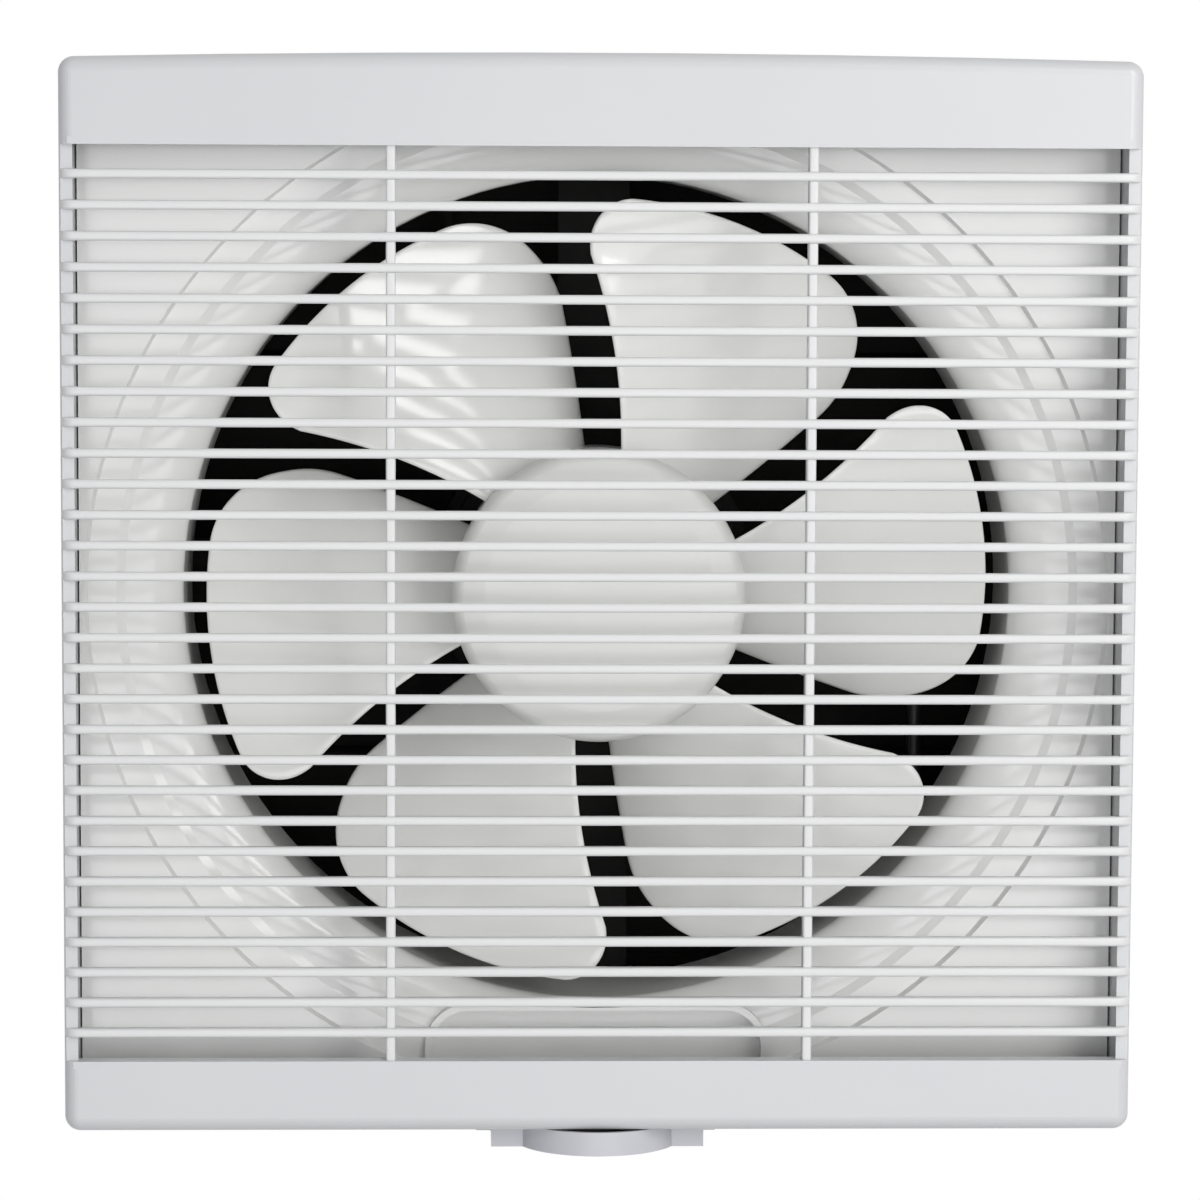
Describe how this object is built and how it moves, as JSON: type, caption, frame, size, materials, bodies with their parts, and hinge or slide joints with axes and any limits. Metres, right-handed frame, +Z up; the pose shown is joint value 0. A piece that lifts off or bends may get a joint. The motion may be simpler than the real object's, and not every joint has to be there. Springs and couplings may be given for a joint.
{
  "type": "exhaust fan",
  "caption": "Square wall exhaust fan with a slatted pull-off panel, bladed wheel in a bell-mouthed orifice, drip cup under the panel and a flap shutter behind its duct.",
  "frame": {"origin": "on the fan's axis, in the plane of the wall's face", "axes": "+X right seen from the room, +Y into the wall, +Z up"},
  "size_m": [0.34, 0.164, 0.3499],
  "materials": {
    "white_plastic": "satin moulded",
    "dark_plastic": "matt moulded",
    "grey_plastic": "matt moulded",
    "steel": "bright",
    "zinc_steel": "zinc plated",
    "painted_steel": "black paint",
    "laminations": "stacked steel",
    "aluminium": "die cast",
    "copper": "varnished copper wire",
    "bronze": "sintered",
    "rubber": "matt"
  },
  "bodies": {
    "frame": {"orifice_plate": "white_plastic", "cup_rails": "white_plastic", "terminal_box": "white_plastic", "terminal_box_cover": "white_plastic", "lead_clips": "white_plastic", "duct_frame": "dark_plastic", "duct_sleeve": "dark_plastic", "shutter_frame": "dark_plastic", "orifice_screws": "steel", "motor_screws": "steel", "bracket_screws": "steel", "cover_screws": "steel", "box_screws": "steel", "clip_screws": "steel", "rail_screws": "steel", "shutter_screws": "steel", "motor_nuts": "zinc_steel", "motor_front_shell": "painted_steel", "motor_rear_shell": "painted_steel", "motor_bracket": "painted_steel", "stator_core": "laminations", "stator_winding": "copper", "front_bearing": "bronze", "rear_bearing": "bronze", "terminal_screws": "bronze", "terminal_block": "grey_plastic", "capacitor": "grey_plastic", "cable_grommet": "rubber", "motor_lead": "rubber"},
    "rotor": {"fan_wheel": "white_plastic", "spinner_cap": "white_plastic", "wheel_nut": "zinc_steel", "nut_washer": "steel", "drive_pin": "zinc_steel", "motor_shaft": "steel", "thrust_washers": "bronze", "rotor_core": "laminations", "rotor_cage": "aluminium"},
    "grille": {"grille_surround": "white_plastic", "grille_slats": "white_plastic"},
    "cup": {"drip_cup": "white_plastic"},
    "flap_1": {"flap_1": "dark_plastic"},
    "flap_2": {"flap_2": "dark_plastic"},
    "flap_3": {"flap_3": "dark_plastic"},
    "flap_4": {"flap_4": "dark_plastic"},
    "link": {"link_bar": "dark_plastic"}
  },
  "joints": [
    {"name": "wheel_spin", "type": "hinge", "parent": "frame", "child": "rotor", "pos_m": [0, 0, 0], "axis": [0, -1, 0], "continuous": true},
    {"name": "panel_pull", "type": "slide", "parent": "frame", "child": "grille", "axis": [0, -1, 0], "range_m": [0, 0.045]},
    {"name": "cup_slide", "type": "slide", "parent": "frame", "child": "cup", "axis": [0, -1, 0], "range_m": [0, 0.018]},
    {"name": "flap_1_tilt", "type": "hinge", "parent": "frame", "child": "flap_1", "pos_m": [0, 0.112, 0.14], "axis": [1, 0, 0], "range_deg": [0, 70]},
    {"name": "flap_2_tilt", "type": "hinge", "parent": "frame", "child": "flap_2", "pos_m": [0, 0.112, 0.07075], "axis": [1, 0, 0], "range_deg": [0, 70]},
    {"name": "flap_3_tilt", "type": "hinge", "parent": "frame", "child": "flap_3", "pos_m": [0, 0.112, 0.0015], "axis": [1, 0, 0], "range_deg": [0, 70]},
    {"name": "flap_4_tilt", "type": "hinge", "parent": "frame", "child": "flap_4", "pos_m": [0, 0.112, -0.06775], "axis": [1, 0, 0], "range_deg": [0, 70]},
    {"name": "link_swing", "type": "hinge", "parent": "flap_1", "child": "link", "pos_m": [-0.046, 0.09803, 0.14098], "axis": [1, 0, 0], "range_deg": [-70, 0]}
  ],
  "couplings": [
    {"joint": "flap_2_tilt", "follows": "flap_1_tilt", "ratio": 1},
    {"joint": "flap_3_tilt", "follows": "flap_1_tilt", "ratio": 1},
    {"joint": "flap_4_tilt", "follows": "flap_1_tilt", "ratio": 1},
    {"joint": "link_swing", "follows": "flap_1_tilt", "ratio": -1}
  ]
}
